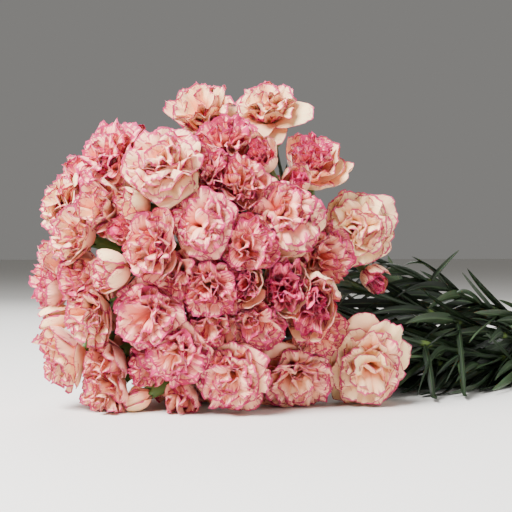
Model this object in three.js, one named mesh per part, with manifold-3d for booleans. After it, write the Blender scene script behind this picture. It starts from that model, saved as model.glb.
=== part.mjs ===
// A bunch of spray carnations lying on its side: ten leafy sprays held by a rubber band, with
// ruffled cream and raspberry blooms packed into a rounded head. Millimetres, +Z up, the table at
// Z = 0, the head at -X and the cut ends at +X. The origin is under the middle of the bunch.
import * as THREE from "three";
import { mergeVertices } from "three/addons/utils/BufferGeometryUtils.js";
import Module from "manifold-3d";

const wasm = await Module();
wasm.setup();

// Driving dimensions
const HEAD = { along: 119, across: 82, tall: 104, height: 116 }; // ellipsoid of the bloom middles
const BAND_X = 400; // from the middle of the head to the rubber band
const BAND_HEIGHT = 15; // of the bundle's middle at the band
const TAIL = 76; // from the band to the cut ends
const TAIL_HEIGHT = 9.2; // of the bundle's middle at the cut ends
const TAIL_SPREAD = { side: 2.7, tall: 0.9 }; // of the bundle at the cut ends, 1 at the band
const MAIN = { cut: 2.2, top: 1.6, swell: 0.9, sides: 5 }; // radii of a main stem and of its nodes
const STALK = { r: 1.35, sides: 5 };
const BRANCHES = [0.55, 0.66, 0.77, 0.88, 1]; // where stalks leave a main stem, of the way from the band to its top
const CALYX = { mouth: 5.2, belly: 4.6, long: 23 };
const BUD_CALYX = { mouth: 4.6, belly: 5, long: 25 };
const BAND = { wire: 1.1, turns: 3, sides: 10 };
const LEAF = { wide: 7, thick: 0.9 };
const SAG = 44; // how far the stems hang below a straight run to the head
const RIM = 0.9; // thickness of a petal's edge
const GAP = 0.3; // between pieces that touch
const CLEAR = 0.9; // between petals and the stems, stalks and calyces of other blooms
const JOIN = 3; // how far each bloom of a pair reaches past the wall between them
const SINK = 1.4; // how far the lowest petals are pressed before they are cut flat at the table
const OUTER_SPRAYS = 8;
const INNER_SPRAYS = 2;

// The place from which the near side is described: at this azimuth (0 looks along +Y), this far
// from the middle of the head and this far to the right of it
const VIEW = { azimuth: -25, distance: 758, shift: 31, height: 110, focal: 1000, middle: 256 };

// The near side. seen: pixel of the bloom's middle. across: width in mm. open: 0 bud to 1 flat.
// lean: extra lean to the right, up and towards the eye. deep: mm further in along the sight.
const NEAR = [
  { seen: [110, 160], across: 60, open: 0.95, lean: [-0.25, 0.15, 0.35], deep: 0 },
  { seen: [163, 166], across: 64, open: 1, lean: [0.1, 0.1, 0], deep: -10 },
  { seen: [133, 206], across: 32, open: 0.45, lean: [-0.7, -0.1, 0], deep: 2 },
  { seen: [203, 113], across: 52, open: 0.85, lean: [0, 0.1, 0.5], deep: 0 },
  { seen: [268, 108], across: 52, open: 0.9, lean: [-0.2, 0.1, 0.6], deep: 4 },
  { seen: [261, 158], across: 34, open: 0.45, lean: [-0.4, 0.1, 0.5], deep: -4 },
  { seen: [312, 162], across: 48, open: 0.7, lean: [-0.2, 0.1, 0.2], deep: 6 },
  { seen: [296, 184], across: 26, open: 0.4, lean: [0.1, 0.1, 0], deep: -4 },
  { seen: [283, 214], across: 70, open: 1, lean: [0, 0, 0], deep: 0 },
  { seen: [357, 229], across: 66, open: 1, lean: [-0.3, -0.1, 0], deep: -8 },
  { seen: [373, 278], across: 29, open: 0.4, lean: [0, -0.5, 0.7], deep: -20 },
  { seen: [320, 258], across: 48, open: 0.8, lean: [0, -0.1, 0], deep: 4 },
  { seen: [246, 248], across: 46, open: 0.85, lean: [0, 0, 0], deep: -4 },
  { seen: [246, 282], across: 36, open: 0.55, lean: [-0.3, 0, 0], deep: -4 },
  { seen: [283, 285], across: 48, open: 0.6, lean: [-0.2, 0.1, 0.2], deep: -3 },
  { seen: [309, 300], across: 52, open: 0.55, lean: [-0.3, -0.1, 0.3], deep: -12 },
  { seen: [251, 320], across: 52, open: 0.85, lean: [0, 0, 0], deep: 0 },
  { seen: [231, 374], across: 60, open: 0.95, lean: [-0.1, 0.1, 0.2], deep: -30 },
  { seen: [296, 376], across: 66, open: 1, lean: [0.1, 0.05, 0.4], deep: -36 },
  { seen: [368, 366], across: 67, open: 1, lean: [-0.2, 0.2, 0.1], deep: -36 },
  { seen: [209, 287], across: 48, open: 0.85, lean: [0, 0, 0], deep: -2 },
  { seen: [201, 225], across: 56, open: 0.95, lean: [0, 0, 0], deep: -3 },
  { seen: [150, 245], across: 52, open: 0.85, lean: [-0.4, 0, 0], deep: -4 },
  { seen: [177, 272], across: 46, open: 0.85, lean: [0, 0, 0], deep: 4 },
  { seen: [148, 315], across: 60, open: 0.95, lean: [0, 0, 0], deep: 0 },
  { seen: [178, 350], across: 58, open: 0.95, lean: [0, 0.1, 0], deep: -8 },
  { seen: [174, 391], across: 50, open: 0.65, lean: [-0.6, 0, 0.2], deep: -30 },
  { seen: [138, 397], across: 21, open: 0.1, lean: [-0.8, 0.1, 0], deep: -24 },
  { seen: [108, 389], across: 50, open: 0.85, lean: [-0.2, 0, 0], deep: -14 },
  { seen: [106, 363], across: 54, open: 0.85, lean: [-0.5, -0.2, 0.3], deep: -18 },
  { seen: [65, 354], across: 54, open: 0.85, lean: [-0.3, 0, 0], deep: -4 },
  { seen: [60, 318], across: 24, open: 0.15, lean: [-0.5, 0, 0], deep: 0 },
  { seen: [92, 312], across: 50, open: 0.85, lean: [-0.2, 0, 0], deep: -2 },
  { seen: [54, 284], across: 44, open: 0.8, lean: [-0.4, 0.1, 0], deep: 4 },
  { seen: [82, 277], across: 40, open: 0.7, lean: [0, 0.1, 0], deep: 6 },
  { seen: [113, 272], across: 33, open: 0.42, lean: [-0.5, -0.2, 0], deep: -5 },
  { seen: [76, 234], across: 50, open: 0.85, lean: [-0.4, 0.3, 0], deep: 0 },
  { seen: [102, 210], across: 44, open: 0.75, lean: [0, -0.2, 0], deep: 4 },
  { seen: [126, 229], across: 30, open: 0.55, lean: [0, 0, 0], deep: 4 },
  { seen: [226, 143], across: 48, open: 0.85, lean: [0, 0, 0], deep: 4 },
  { seen: [238, 184], across: 46, open: 0.8, lean: [0, 0, 0], deep: 2 },
  { seen: [205, 174], across: 44, open: 0.8, lean: [0, 0, 0], deep: 4 },
  { seen: [316, 331], across: 44, open: 0.75, lean: [0.1, 0.1, 0], deep: -16 },
  { seen: [211, 323], across: 44, open: 0.75, lean: [0, 0, 0], deep: 2 },
  { seen: [146, 370], across: 44, open: 0.75, lean: [-0.3, 0.1, 0], deep: -12 },
];

// The far side and the underside. around: degrees about +Z from +X. up: degrees above the middle.
const FAR = [
  { around: 75, up: 60, across: 66, open: 1 },
  { around: 135, up: 44, across: 64, open: 0.95 },
  { around: 58, up: 22, across: 66, open: 1 },
  { around: 92, up: 24, across: 66, open: 0.95 },
  { around: 124, up: 20, across: 64, open: 1 },
  { around: 152, up: 26, across: 60, open: 0.9 },
  { around: 172, up: 17, across: 52, open: 0.95 },
  { around: 54, up: -14, across: 64, open: 1 },
  { around: 84, up: -12, across: 66, open: 0.95 },
  { around: 112, up: -14, across: 64, open: 1 },
  { around: 140, up: -10, across: 62, open: 0.95 },
  { around: 168, up: -10, across: 58, open: 0.9 },
  { around: 57, up: -46, across: 64, open: 0.95 },
  { around: 102, up: -46, across: 62, open: 0.9 },
  { around: 136, up: -44, across: 62, open: 1 },
  { around: 172, up: -46, across: 54, open: 0.9 },
  { around: 20, up: -68, across: 58, open: 0.9 },
  { around: 110, up: -78, across: 58, open: 0.95 },
  { around: 200, up: -72, across: 56, open: 0.9 },
];

// Neighbours that share a node, by number
const PAIRS = [
  [3, 38], [6, 40], [13, 14], [17, 44], [23, 39], [29, 30], [31, 32], [33, 35], [34, 57], [41, 42],
  [50, 51], [55, 56], [58, 62], [60, 61], [63, 64],
];

// Leaves, two or so at a swollen node of an outer spray's main stem. share: of the way from the band to
// the top. turn: degrees round the stem from straight out of the bundle, near side to top to far side.
// away: degrees between leaf and stem. droop: how far the tip hangs.
const LEAVES = [
  { spray: 1, share: 0.3, turn: 0, away: 45, long: 60, droop: 20 },
  { spray: 1, share: 0.58, turn: 0, away: 65, long: 50, droop: 30 },
  { spray: 1, share: 0.66, turn: 0, away: 80, long: 50, droop: 40 },
  { spray: 2, share: 0.2, turn: 30, away: 45, long: 60, droop: 0 },
  { spray: 2, share: 0.42, turn: 35, away: 50, long: 45, droop: 0 },
  { spray: 2, share: 0.62, turn: 30, away: 50, long: 45, droop: 6 },
  { spray: 3, share: 0.3, turn: -40, away: 45, long: 55, droop: 0 },
  { spray: 3, share: 0.55, turn: -40, away: 50, long: 50, droop: 0 },
  { spray: 4, share: 0.25, turn: 0, away: 45, long: 60, droop: 10 },
  { spray: 4, share: 0.45, turn: 0, away: 60, long: 55, droop: 20 },
  { spray: 4, share: 0.62, turn: 0, away: 60, long: 45, droop: 20 },
  { spray: 5, share: 0.35, turn: 0, away: 40, long: 70, droop: 10 },
  { spray: 5, share: 0.52, turn: 0, away: 60, long: 55, droop: 20 },
  { spray: 5, share: 0.7, turn: 0, away: 65, long: 45, droop: 10 },
  { spray: 6, share: 0.3, turn: 0, away: 40, long: 65, droop: 10 },
  { spray: 6, share: 0.45, turn: -20, away: 35, long: 70, droop: 4 },
  { spray: 6, share: 0.45, turn: 25, away: 60, long: 45, droop: 16 },
  { spray: 6, share: 0.62, turn: -10, away: 70, long: 36, droop: 0 },
  { spray: 7, share: 0.33, turn: 20, away: 35, long: 70, droop: 6 },
  { spray: 7, share: 0.33, turn: -25, away: 50, long: 55, droop: 16 },
  { spray: 7, share: 0.5, turn: 5, away: 22, long: 78, droop: 0 },
  { spray: 7, share: 0.5, turn: -50, away: 60, long: 26, droop: 6 },
  { spray: 7, share: 0.66, turn: 10, away: 80, long: 46, droop: 0 },
  { spray: 8, share: 0.25, turn: 10, away: 40, long: 70, droop: 14 },
  { spray: 8, share: 0.43, turn: 0, away: 50, long: 30, droop: 20 },
  { spray: 8, share: 0.6, turn: -15, away: 65, long: 56, droop: 50 },
];

const DEG = Math.PI / 180;
const ORIGIN = new THREE.Vector3();
const UP = new THREE.Vector3(0, 0, 1);
const SIDE = new THREE.Vector3(0, 1, 0);
const AHEAD = new THREE.Vector3(-Math.sin(VIEW.azimuth * DEG), Math.cos(VIEW.azimuth * DEG), 0);
const RIGHT = new THREE.Vector3(Math.cos(VIEW.azimuth * DEG), Math.sin(VIEW.azimuth * DEG), 0);
const MIDDLE = new THREE.Vector3(0, 0, HEAD.height);
const TIE = new THREE.Vector3(BAND_X, 0, BAND_HEIGHT);
const SPINE = MIDDLE.clone().sub(TIE).normalize(); // from the band to the head
const SPINE_UP = SIDE.clone().cross(SPINE);
const BUNDLE = new THREE.Vector3(-1, 0, 0.04).normalize(); // the stems' own direction at the band
const BUNDLE_UP = SIDE.clone().cross(BUNDLE);

const mix = (a, b, t) => a + (b - a) * t;

// A point some steps away from another
function at(origin, ...steps) {
  const point = origin.clone();
  for (const [direction, length] of steps) point.addScaledVector(direction, length);
  return point;
}

// Numbers from 0 to 1 that are the same on every run
function dice(seed) {
  let state = seed * 7919 + 17;
  return () => {
    state = (state * 16807) % 2147483647;
    return (state % 100003) / 100003;
  };
}

// A closed mesh, with its shared points merged, as a solid
function toSolid(geometry) {
  geometry.deleteAttribute("normal");
  geometry.deleteAttribute("uv");
  const merged = mergeVertices(geometry, 1e-5);
  const mesh = new wasm.Mesh({
    numProp: 3,
    vertProperties: new Float32Array(merged.attributes.position.array),
    triVerts: new Uint32Array(merged.index.array),
  });
  return new wasm.Manifold(mesh);
}

function toGeometry(solid) {
  const { vertProperties, triVerts } = solid.getMesh();
  const geometry = new THREE.BufferGeometry();
  geometry.setAttribute("position", new THREE.BufferAttribute(new Float32Array(vertProperties), 3));
  geometry.setIndex(new THREE.BufferAttribute(new Uint32Array(triVerts), 1));
  geometry.computeVertexNormals();
  return geometry;
}

function solidOf(points, triangles) {
  const geometry = new THREE.BufferGeometry().setFromPoints(points);
  geometry.setIndex(triangles.flat());
  return toSolid(geometry);
}

// A closed skin over rings of points, from the lowest to the highest. Neighbouring rings may have
// different counts: the next triangle always steps along the ring that lags behind in angle.
function skin(rings) {
  const first = [];
  let total = 0;
  for (const ring of rings) {
    first.push(total);
    total += ring.length;
  }
  const triangles = [];
  for (let i = 1; i < rings[0].length - 1; i++) triangles.push([0, i + 1, i]);
  for (let r = 0; r + 1 < rings.length; r++) {
    const low = rings[r].length;
    const high = rings[r + 1].length;
    let i = 0;
    let j = 0;
    while (i < low || (high > 1 && j < high)) {
      const here = first[r] + (i % low);
      const above = first[r + 1] + (j % high);
      if (high === 1 || (i < low && (i + 1) / low <= (j + 1) / high)) {
        triangles.push([here, first[r] + ((i + 1) % low), above]);
        i++;
      } else {
        triangles.push([here, first[r + 1] + ((j + 1) % high), above]);
        j++;
      }
    }
  }
  const start = first.at(-1);
  for (let i = 1; i < rings.at(-1).length - 1; i++) triangles.push([start, start + i, start + i + 1]);
  return solidOf(rings.flat(), triangles);
}

function directionAt(path, i) {
  const ahead = path[Math.min(i + 1, path.length - 1)];
  const behind = path[Math.max(i - 1, 0)];
  return ahead.clone().sub(behind).normalize();
}

// A round rod along a path, thicker or thinner by station
function rod(path, radii, sides) {
  const start = directionAt(path, 0);
  let side = new THREE.Vector3().crossVectors(Math.abs(start.z) < 0.9 ? UP : RIGHT, start);
  const rings = path.map((point, i) => {
    const along = directionAt(path, i);
    side = side.clone().addScaledVector(along, -side.dot(along)).normalize();
    const across = along.clone().cross(side);
    return Array.from({ length: sides }, (_, k) => {
      const angle = (2 * Math.PI * k) / sides;
      return at(point, [side, Math.cos(angle) * radii[i]], [across, Math.sin(angle) * radii[i]]);
    });
  });
  return skin(rings);
}

// A strap leaf that ends in a point: its width lies across its path, and both faces are split alike
function strap(path, widths, breadth, thick) {
  const tip = path.length - 1;
  const points = path.slice(0, tip).flatMap((point, i) => {
    const along = directionAt(path, i);
    const across = breadth.clone().addScaledVector(along, -breadth.dot(along)).normalize();
    const normal = across.clone().cross(along);
    const edge = (w, h) => at(point, [across, w * widths[i]], [normal, h * thick]);
    return [edge(-0.5, 0.5), edge(0.5, 0.5), edge(-0.5, -0.5), edge(0.5, -0.5)];
  });
  const triangles = [[0, 2, 3], [0, 3, 1]];
  for (let n = 0; n + 4 < 4 * tip; n += 4) {
    const [leftTop, rightTop, leftLow, rightLow] = [n, n + 1, n + 2, n + 3];
    triangles.push([leftTop, rightTop + 4, leftTop + 4], [leftTop, rightTop, rightTop + 4]);
    triangles.push([leftLow, leftLow + 4, rightLow + 4], [leftLow, rightLow + 4, rightLow]);
    triangles.push([leftTop, leftTop + 4, leftLow + 4], [leftTop, leftLow + 4, leftLow]);
    triangles.push([rightTop, rightLow, rightLow + 4], [rightTop, rightLow + 4, rightTop + 4]);
  }
  const [leftTop, rightTop, leftLow, rightLow, end] = [-4, -3, -2, -1, 0].map((k) => 4 * tip + k);
  triangles.push([leftTop, rightTop, end], [rightTop, rightLow, end]);
  triangles.push([rightLow, leftLow, end], [leftLow, leftTop, end]);
  return solidOf([...points, path[tip]], triangles);
}

// Where each bloom sits and faces

// The point where a line of sight meets the ellipsoid, or passes nearest to it
function placeNear({ seen, across, open, lean, deep }) {
  const eye = at(MIDDLE, [AHEAD, -VIEW.distance], [RIGHT, VIEW.shift]).setZ(VIEW.height);
  const [right, up] = [(seen[0] - VIEW.middle) / VIEW.focal, (VIEW.middle - seen[1]) / VIEW.focal];
  const ray = at(AHEAD, [RIGHT, right], [UP, up]);
  const scale = new THREE.Vector3(1 / HEAD.along, 1 / HEAD.across, 1 / HEAD.tall);
  const from = eye.clone().sub(MIDDLE).multiply(scale);
  const step = ray.clone().multiply(scale);
  const nearest = -from.dot(step) / step.lengthSq();
  const inside = 1 - at(from, [step, nearest]).lengthSq();
  const reach = nearest - Math.sqrt(Math.max(inside, 0) / step.lengthSq());
  const extra = at(ORIGIN, [RIGHT, lean[0]], [UP, lean[1]], [AHEAD, -lean[2]]);
  return placeBloom(at(eye, [ray, reach + deep]), across, open, extra);
}

function placeFar({ around, up, across, open }) {
  const flat = Math.cos(up * DEG);
  const middle = new THREE.Vector3(
    HEAD.along * flat * Math.cos(around * DEG),
    HEAD.across * flat * Math.sin(around * DEG),
    HEAD.height + HEAD.tall * Math.sin(up * DEG),
  );
  return placeBloom(middle, across, open, ORIGIN);
}

// A bloom faces out of the head and a little away from the band. Its heart is the point from which
// every petal edge can be seen, so nothing that is moved towards it can cross.
function placeBloom(middle, across, open, lean) {
  const out = middle.clone().sub(MIDDLE);
  out.set(out.x / HEAD.along ** 2, out.y / HEAD.across ** 2, out.z / HEAD.tall ** 2).normalize();
  const away = middle.clone().sub(TIE).normalize();
  const facing = at(lean, [out, 0.7], [away, 0.3]).normalize();
  const radius = across / 2;
  const tall = radius * (2.04 - open);
  const calyx = open < 0.3 ? BUD_CALYX : CALYX;
  const base = at(middle, [facing, -0.45 * tall]);
  const heart = at(base, [facing, 0.3 * tall]);
  const mouth = at(base, [facing, -GAP]);
  const foot = at(mouth, [facing, -calyx.long]);
  return { middle, facing, radius, tall, open, calyx, base, heart, mouth, foot };
}

const blooms = [...NEAR.map(placeNear), ...FAR.map(placeFar)];
blooms.forEach((bloom, i) => {
  bloom.number = i + 1;
});

const paired = (a, b) => PAIRS.some((pair) => pair.includes(a.number) && pair.includes(b.number));

// Sprays

// Which blooms grow on which spray: the ones nearest the front of the head on the inner sprays, and
// the rest on the outer ones, in order round the spine
function groupSprays() {
  for (const bloom of blooms) {
    const out = bloom.middle.clone().sub(MIDDLE);
    bloom.turned = out.angleTo(SPINE);
    bloom.around = Math.atan2(out.dot(SPINE_UP), out.dot(SIDE));
  }
  const byFront = [...blooms].sort((a, b) => a.turned - b.turned);
  const innerCount = Math.round((blooms.length * INNER_SPRAYS) / (INNER_SPRAYS + OUTER_SPRAYS));
  const inner = byFront.slice(0, innerCount).sort((a, b) => a.around - b.around);
  const outer = byFront.slice(innerCount).sort((a, b) => a.around - b.around);
  const portion = (list, k, count) =>
    list.slice(Math.round((k * list.length) / count), Math.round(((k + 1) * list.length) / count));
  const sprays = [];
  for (let slot = 0; slot < OUTER_SPRAYS; slot++) {
    sprays.push({ members: portion(outer, slot, OUTER_SPRAYS), ring: true, slot });
  }
  for (let slot = 0; slot < INNER_SPRAYS; slot++) {
    sprays.push({ members: portion(inner, slot, INNER_SPRAYS), ring: false, slot });
  }
  return sprays;
}

// Where a main stem passes the band: eight in a ring and two side by side inside it
const PITCH = 2 * MAIN.cut + GAP;
const RING_R = 1.53 * PITCH;
function stemOffset({ ring, slot }) {
  const angle = -Math.PI + (2 * Math.PI * (slot + 0.5)) / (ring ? OUTER_SPRAYS : INNER_SPRAYS);
  const radius = ring ? RING_R : PITCH / 2;
  return [radius * Math.cos(angle), radius * Math.sin(angle)];
}

// The main stem as two curves that meet at the band
function mainCurves(spray) {
  const [side, up] = stemOffset(spray);
  const heart = new THREE.Vector3();
  spray.members.forEach((bloom) => heart.addScaledVector(bloom.base, 1 / spray.members.length));
  const end = at(MIDDLE.clone().lerp(heart, spray.ring ? 0.56 : 0.4), [SPINE, spray.ring ? -26 : -4]);
  const band = at(TIE, [SIDE, side], [BUNDLE_UP, up]);
  const cut = new THREE.Vector3(BAND_X + TAIL, side * TAIL_SPREAD.side, TAIL_HEIGHT + up * TAIL_SPREAD.tall);
  const straight = end.clone().sub(band).normalize();
  const flare = spray.ring ? end.clone().sub(at(MIDDLE, [SPINE, end.clone().sub(MIDDLE).dot(SPINE)])) : ORIGIN;
  const approach = at(end, [straight, -110], [flare, 1.2], [UP, -SAG]);
  approach.z = Math.max(approach.z, 2 * MAIN.cut);
  return {
    upper: new THREE.CubicBezierCurve3(band, at(band, [BUNDLE, 45]), approach, end),
    lower: new THREE.CubicBezierCurve3(cut, at(cut, [BUNDLE, 40]), at(band, [BUNDLE, -40]), band),
  };
}

// A stalk leaves the main stem at an easy angle
function stalkCurve(bloom, main) {
  const easy = 0.65;
  const lean = (t) => bloom.foot.clone().sub(main.getPoint(t)).angleTo(main.getTangent(t));
  const miss = (t) => Math.abs(lean(t) - easy);
  const best = BRANCHES.reduce((a, b) => (miss(b) < miss(a) ? b : a));
  const start = main.getPoint(best);
  const ahead = main.getTangent(best);
  bloom.turnsBack = ahead.dot(bloom.facing) < -0.15;
  const span = start.distanceTo(bloom.foot) * (bloom.turnsBack ? 0.6 : 0.3);
  const early = at(start, [ahead, span]);
  const late = at(bloom.foot, [bloom.facing, -span]);
  return new THREE.CubicBezierCurve3(start, early, late, bloom.foot);
}

const sprays = groupSprays();
for (const spray of sprays) {
  Object.assign(spray, mainCurves(spray));
  for (const bloom of spray.members) bloom.stalk = stalkCurve(bloom, spray.upper);
}

// Blooms

// The flat walls that keep a bloom clear of its neighbours, their calyces and the table
function wallsOf(bloom) {
  const walls = [{ normal: at(ORIGIN, [UP, -1]), distance: bloom.heart.z + SINK }];
  const addWall = (target, share, clear) => {
    const normal = target.clone().sub(bloom.heart);
    const far = normal.length();
    walls.push({ normal: normal.normalize(), distance: far * share - clear });
  };
  for (const other of blooms) {
    if (other === bloom) continue;
    const clear = paired(bloom, other) ? -JOIN : GAP / 2;
    addWall(other.heart, bloom.radius / (bloom.radius + other.radius), clear);
    for (const share of [0, 0.25, 0.5, 0.75]) {
      addWall(other.mouth.clone().lerp(other.foot, share), 1, other.calyx.belly + CLEAR);
    }
  }
  for (const spray of sprays) {
    for (let t = 0.5; t < 1.001; t += 0.05) addWall(spray.upper.getPoint(t), 1, MAIN.cut + CLEAR);
    for (const other of spray.members) {
      if (other === bloom) continue;
      for (const t of [0.2, 0.4, 0.6, 0.8]) addWall(other.stalk.getPoint(t), 1, STALK.r + CLEAR);
    }
  }
  return walls;
}

// A point is left alone near the heart and slows down to stop at the nearest wall
function holdInside(point, heart, walls) {
  const ray = point.clone().sub(heart);
  const length = ray.length();
  ray.divideScalar(length);
  let room = Infinity;
  for (const { normal, distance } of walls) {
    const slope = ray.dot(normal);
    if (slope > 1e-6) room = Math.min(room, distance / slope);
  }
  const free = 0.78 * room;
  if (length <= free) return point;
  const held = free + (room - free) * Math.tanh((length - free) / (room - free));
  return at(heart, [ray, held]);
}

// Rows of a bloom from its base up: radius and height as shares of the bloom's own, points, depth
// of the notches between petals and height of the wave. A rim has the thickness of a petal's edge.
function rowsOf({ radius, tall, open }) {
  const size = radius > 27 ? 2 : radius > 18 ? 1 : 0;
  const full = open >= 0.65;
  const outer = [8, 10, 12][size];
  const inner = [8, 8, 10][size];
  const heart = 6;
  const low = mix(0.62, 0.14, open);
  const high = mix(0.86, 0.62, open);
  const rows = [];
  if (!full) rows.push({ r: 0.76, h: 0.14, count: 5, notch: 0, wave: 0 });
  rows.push({ r: 1.12, h: low, count: outer, notch: 0.2, wave: full ? 0.13 : 0.06, rim: true });
  rows.push({ r: 0.66, h: low + (full ? 0.25 : 0.12), count: outer / 2, notch: 0, wave: 0 });
  rows.push({ r: mix(0.74, 0.92, open), h: high, count: inner, notch: 0.24, wave: 0.09, rim: true });
  if (open >= 0.3) {
    rows.push({ r: 0.44, h: high + 0.04, count: inner / 2, notch: 0, wave: 0 });
    rows.push({ r: mix(0.4, 0.56, open), h: 0.94, count: heart, notch: 0.34, wave: 0.05, rim: true });
  }
  return rows.map((row) => ({ ...row, r: row.r * radius, h: row.h * tall, wave: row.wave * radius }));
}

function bloomSolid(bloom) {
  const random = dice(bloom.number);
  const spin = random() * 2 * Math.PI;
  const side = new THREE.Vector3().crossVectors(UP, bloom.facing).normalize();
  const top = bloom.facing.clone().cross(side);
  const walls = wallsOf(bloom);
  const place = (radius, height, turn) => {
    const angle = turn * 2 * Math.PI + spin;
    const across = [side, radius * Math.cos(angle)];
    const upward = [top, radius * Math.sin(angle)];
    return holdInside(at(bloom.base, across, upward, [bloom.facing, height]), bloom.heart, walls);
  };
  const ring = (count, spot) => Array.from({ length: count }, (_, k) => spot(k, k / count));
  const rings = [ring(6, (k, turn) => place(bloom.calyx.mouth - 0.7, 0, turn))];
  for (const { r, h, count, notch, wave, rim } of rowsOf(bloom)) {
    const reaches = ring(count, (k) => r * (1 - notch * (k % 2) - 0.08 * random()));
    const rises = ring(count, () => wave * (random() * 2 - 1));
    for (const lift of rim ? [-RIM / 2, RIM / 2] : [0]) {
      rings.push(ring(count, (k, turn) => place(reaches[k], h + rises[k] + lift, turn)));
    }
  }
  rings.push([place(0, bloom.tall * 0.8, 0)]);
  return cutAtTable(skin(rings));
}

// The lowest blooms are pressed flat where they lie on the table
function cutAtTable(solid) {
  if (solid.boundingBox().min[2] >= 0) return solid;
  const depth = 10;
  const block = new THREE.BoxGeometry(3 * HEAD.along, 3 * HEAD.across, depth);
  return solid.subtract(toSolid(block.translate(0, 0, -depth / 2)));
}

// Green pieces

// A stalk ends in the green calyx that holds the bloom
function stalkSolid({ stalk, calyx, foot, mouth, facing, turnsBack }) {
  const path = (turnsBack ? [0, 0.2, 0.4, 0.6, 0.8, 1] : [0, 0.5, 1]).map((t) => stalk.getPoint(t));
  const radii = path.map(() => STALK.r);
  path.push(at(foot, [facing, 0.25 * calyx.long]), mouth);
  radii.push(calyx.belly, calyx.mouth);
  return rod(path, radii, STALK.sides);
}

// A leaf runs out from its node and up along the stem, and droops, to the table at most
function leafSolid({ turn, away, long, droop }, start, along) {
  const core = at(TIE, [SPINE, start.clone().sub(TIE).dot(SPINE)]);
  const outward = start.clone().sub(core);
  outward.addScaledVector(along, -outward.dot(along)).normalize().applyAxisAngle(along, turn * DEG);
  const forward = at(ORIGIN, [along, Math.cos(away * DEG)], [outward, Math.sin(away * DEG)]);
  const breadth = along.clone().cross(outward);
  const lowest = LEAF.thick + 0.5 * LEAF.wide * Math.abs(breadth.z);
  const path = [0, 0.3, 0.65, 1].map((s) => {
    const point = at(start, [forward, long * s], [UP, -droop * s * s]);
    const above = point.z - lowest;
    point.z = lowest + 0.5 * (above + Math.hypot(above, 3));
    return point;
  });
  const widths = [0.5, 1, 0.85].map((share) => share * LEAF.wide);
  return strap(path, widths, breadth, LEAF.thick);
}

function spraySolid(spray, number) {
  const { upper, lower, members } = spray;
  const leaves = LEAVES.filter((leaf) => leaf.spray === number);
  const nodes = [...new Set(leaves.map((leaf) => leaf.share))];
  const swell = 0.012;
  const plain = [0, 0.2, 0.4, ...BRANCHES].filter((t) => nodes.every((n) => Math.abs(n - t) > swell));
  const stations = [...nodes.flatMap((t) => [t - swell, t, t + swell]), ...plain].sort((a, b) => a - b);
  const path = [lower.getPoint(0), lower.getPoint(0.5), ...stations.map((t) => upper.getPoint(t))];
  const taper = (t) => mix(MAIN.cut, MAIN.top, t);
  const radii = [MAIN.cut, MAIN.cut, ...stations.map((t) => taper(t) + (nodes.includes(t) ? MAIN.swell : 0))];
  let solid = rod(path, radii, MAIN.sides);
  for (const bloom of members) solid = solid.add(stalkSolid(bloom));
  for (const leaf of leaves) {
    solid = solid.add(leafSolid(leaf, upper.getPoint(leaf.share), upper.getTangent(leaf.share)));
  }
  return solid;
}

// Turns of the band lying side by side round the bundle
function bandGeometry() {
  const inner = (RING_R + MAIN.cut + 2 * GAP) / Math.cos(Math.PI / BAND.sides);
  const { wire, turns, sides } = BAND;
  const corner = (out, along) => new THREE.Vector2(inner + out * wire, (along - turns) * wire);
  const profile = [corner(0, 0)];
  for (let k = 0; k < turns; k++) {
    profile.push(corner(1.7, 2 * k + 0.5), corner(1.7, 2 * k + 1.5));
    if (k + 1 < turns) profile.push(corner(0.9, 2 * k + 2));
  }
  profile.push(corner(0, 2 * turns), corner(0, 0));
  const geometry = new THREE.LatheGeometry(profile, sides);
  const axis = new THREE.Quaternion().setFromUnitVectors(SIDE, BUNDLE);
  geometry.applyQuaternion(axis);
  geometry.translate(TIE.x, TIE.y, TIE.z);
  return toGeometry(toSolid(geometry));
}

const petals = new THREE.MeshStandardMaterial({ color: 0xf0c3b8, roughness: 0.75, metalness: 0 });
const greens = new THREE.MeshStandardMaterial({ color: 0x5f7a52, roughness: 0.6, metalness: 0 });
const rubber = new THREE.MeshStandardMaterial({ color: 0xc9a36a, roughness: 0.55, metalness: 0 });

const bunch = new THREE.Group();
function addPiece(name, geometry, material) {
  const mesh = new THREE.Mesh(geometry, material);
  mesh.name = name;
  bunch.add(mesh);
}

const label = (number) => String(number).padStart(2, "0");
sprays.forEach((spray, k) => {
  addPiece(`spray_${label(k + 1)}`, toGeometry(spraySolid(spray, k + 1)), greens);
});
for (const bloom of blooms) {
  const pair = PAIRS.find((numbers) => numbers.includes(bloom.number));
  if (!pair) {
    addPiece(`bloom_${label(bloom.number)}`, toGeometry(bloomSolid(bloom)), petals);
  } else if (pair[0] === bloom.number) {
    const both = bloomSolid(bloom).add(bloomSolid(blooms[pair[1] - 1]));
    addPiece(`blooms_${label(pair[0])}_${label(pair[1])}`, toGeometry(both), petals);
  }
}
addPiece("rubber_band", bandGeometry(), rubber);

const box = new THREE.Box3().setFromObject(bunch);
bunch.position.set(-(box.min.x + box.max.x) / 2, -(box.min.y + box.max.y) / 2, 0);

export default bunch;
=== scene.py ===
"""A bunch of spray carnations lying on its side: ten leafy stems in a rubber band, and a rounded head of
ruffled cream blooms edged in raspberry.

Lengths are millimetres in the bunch's own construction frame, as in its solids: the table at Z = 0, the
middle of the head over the origin, the cut ends at +X. to_mesh() turns them into metres in the row's frame.
"""
import math

import bpy
import numpy as np
from mathutils import Matrix, Vector


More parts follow.
